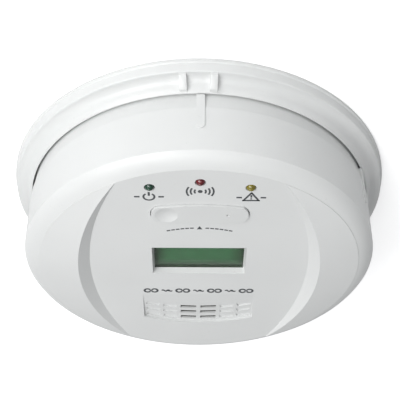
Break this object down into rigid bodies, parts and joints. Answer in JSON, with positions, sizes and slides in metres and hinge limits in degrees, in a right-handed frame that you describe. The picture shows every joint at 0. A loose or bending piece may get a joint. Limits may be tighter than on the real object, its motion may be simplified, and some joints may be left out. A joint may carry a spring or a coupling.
{
  "type": "carbon monoxide detector",
  "caption": "Round battery carbon monoxide alarm with a display, test button, indicator lights and sounder grille, on a twist-lock mounting plate.",
  "frame": {"origin": "centre of the mounting plate's back face, which meets the wall or ceiling", "axes": "+Z out of the alarm's face, +Y towards the indicator lights, +X to the reader's right"},
  "size_m": [0.1312, 0.1312, 0.0376],
  "materials": {
    "white_shell": "fine satin",
    "button_plastic": "satin",
    "black_plastic": "satin",
    "green_lens": "gloss",
    "red_lens": "gloss",
    "amber_lens": "gloss",
    "tinned_metal": "satin",
    "gold_metal": "satin",
    "clear_window": "clear gloss",
    "display_glass": "gloss",
    "light_guide": "matte",
    "elastomer": "matte",
    "board_laminate": "satin",
    "chip_plastic": "matte",
    "capacitor_can": "sleeved",
    "coil": "wound wire",
    "sensor_can": "satin",
    "mesh_metal": "woven",
    "ceramic": "matte",
    "wire_sleeve": "satin",
    "red_sleeve": "satin",
    "cell_can": "satin",
    "label_film": "matte"
  },
  "bodies": {
    "plate": {"mounting_plate": "white_shell"},
    "alarm": {"rear_housing": "white_shell", "front_cover": "white_shell", "test_switch": "black_plastic", "power_light": "green_lens", "alarm_light": "red_lens", "fault_light": "amber_lens", "light_spacers": "black_plastic", "light_leads": "tinned_metal", "display_window": "clear_window", "display_glass": "display_glass", "display_frame": "white_shell", "display_backlight": "light_guide", "display_connectors": "elastomer", "circuit_board": "board_laminate", "microcontroller": "chip_plastic", "sensor_amplifier": "chip_plastic", "board_capacitors": "capacitor_can", "horn_transformer": "coil", "co_sensor": "sensor_can", "sensor_pins": "gold_metal", "vent_mesh": "mesh_metal", "horn_housing": "black_plastic", "piezo_disc": "gold_metal", "piezo_ceramic": "ceramic", "horn_wires": "wire_sleeve", "battery_cell_1": "cell_can", "battery_cell_2": "cell_can", "battery_cell_3": "cell_can", "battery_contacts": "tinned_metal", "battery_springs": "tinned_metal", "battery_wire_positive": "red_sleeve", "battery_wire_negative": "wire_sleeve", "housing_screws": "tinned_metal", "board_screws": "tinned_metal", "rear_label": "label_film"},
    "button": {"test_button": "button_plastic"},
    "plunger": {"switch_plunger": "black_plastic"}
  },
  "joints": [
    {"name": "twist_lock", "type": "hinge", "parent": "plate", "child": "alarm", "pos_m": [0, 0, 0], "axis": [0, 0, 1], "range_deg": [0, 15]},
    {"name": "button_press", "type": "hinge", "parent": "alarm", "child": "button", "pos_m": [0.0133, 0.0318, 0.0317], "axis": [0, -1, 0], "range_deg": [0, 2], "stiffness_Nm_per_rad": 1, "springref_deg": -2.86},
    {"name": "plunger_press", "type": "slide", "parent": "alarm", "child": "plunger", "axis": [0, 0, -1], "range_m": [0, 0.0005]}
  ],
  "couplings": [
    {"joint": "plunger_press", "follows": "button_press", "m_per_rad": 0.014324}
  ]
}
